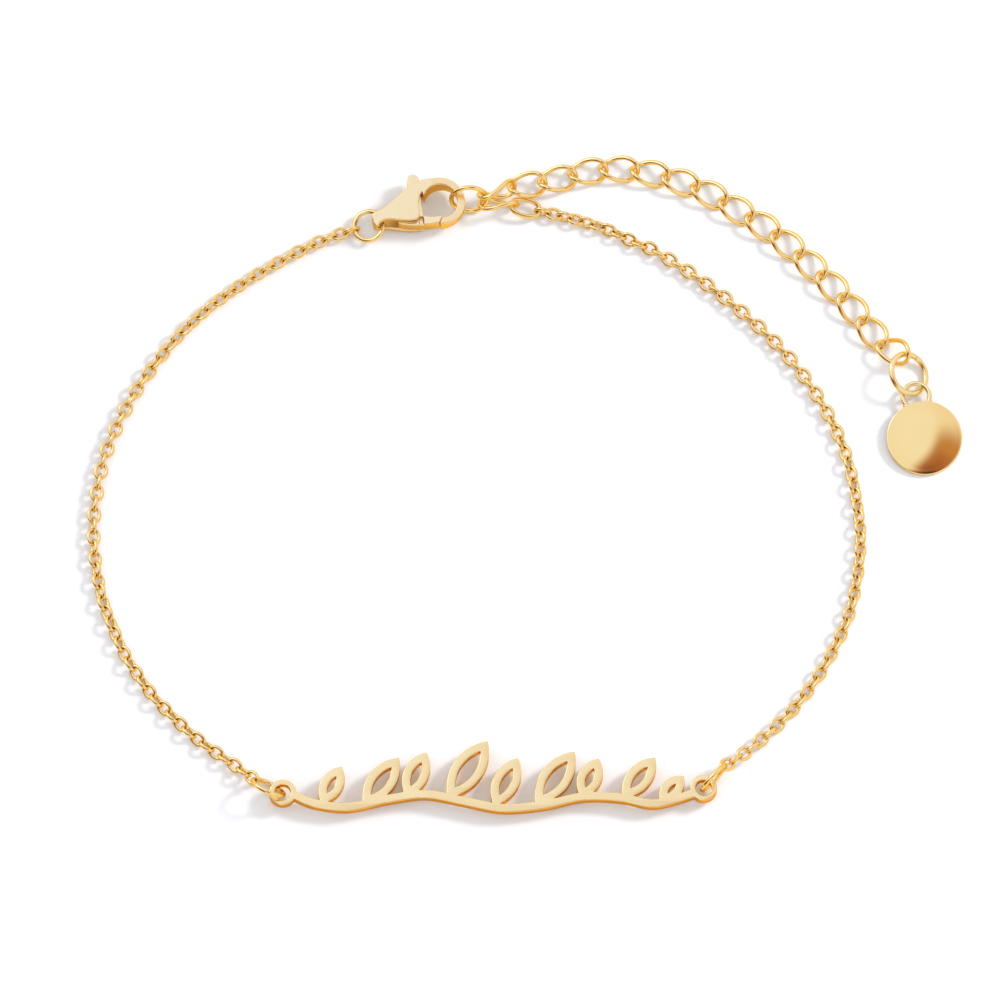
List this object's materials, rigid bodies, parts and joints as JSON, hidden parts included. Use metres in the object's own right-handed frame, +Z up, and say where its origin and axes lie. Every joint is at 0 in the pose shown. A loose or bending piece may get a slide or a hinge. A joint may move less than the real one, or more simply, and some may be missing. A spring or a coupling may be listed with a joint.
{
  "type": "chain bracelet with pierced plate, lobster clasp, extender chain and round tag",
  "caption": "Fine gold-plated chain bracelet lying closed: pierced leaf-sprig plate, sprung lobster clasp, curb-link extender chain and a small domed round tag.",
  "frame": {"origin": "on the surface the bracelet lies on, under the middle of its outline", "axes": "+X along the plate towards the tag's side, +Y from the plate across the loop to the clasp, +Z up from the surface"},
  "size_m": [0.0729, 0.0578, 0.0032],
  "materials": {
    "satin_gold": "gold plated, satin",
    "chain_gold": "gold plated, polished wire",
    "mirror_gold": "gold plated, mirror polished"
  },
  "bodies": {
    "root": {"plate": "satin_gold", "plate_ring_left": "chain_gold", "plate_ring_right": "chain_gold", "fine_chain_left": "chain_gold", "fine_chain_right": "chain_gold", "clasp_ring": "chain_gold", "clasp_body": "satin_gold", "clasp_pin": "satin_gold", "hook_ring": "chain_gold", "joining_link_upper": "chain_gold", "joining_link_lower": "chain_gold", "chain_end_link": "chain_gold", "extender_link_01": "chain_gold", "extender_link_02": "chain_gold", "extender_link_03": "chain_gold", "extender_link_04": "chain_gold", "extender_link_05": "chain_gold", "extender_link_06": "chain_gold", "extender_link_07": "chain_gold", "extender_link_08": "chain_gold", "extender_link_09": "chain_gold", "extender_link_10": "chain_gold", "extender_link_11": "chain_gold", "extender_link_12": "chain_gold", "extender_link_13": "chain_gold", "extender_link_14": "chain_gold", "extender_link_15": "chain_gold", "end_ring": "chain_gold", "disc_tag": "mirror_gold"},
    "lever": {"clasp_lever": "satin_gold"}
  },
  "joints": [
    {"name": "clasp_lever_hinge", "type": "hinge", "parent": "root", "child": "lever", "pos_m": [-0.00932, 0.02369, 0.0014], "axis": [0, 0, 1], "range_deg": [0, 25], "stiffness_Nm_per_rad": 0.005}
  ]
}
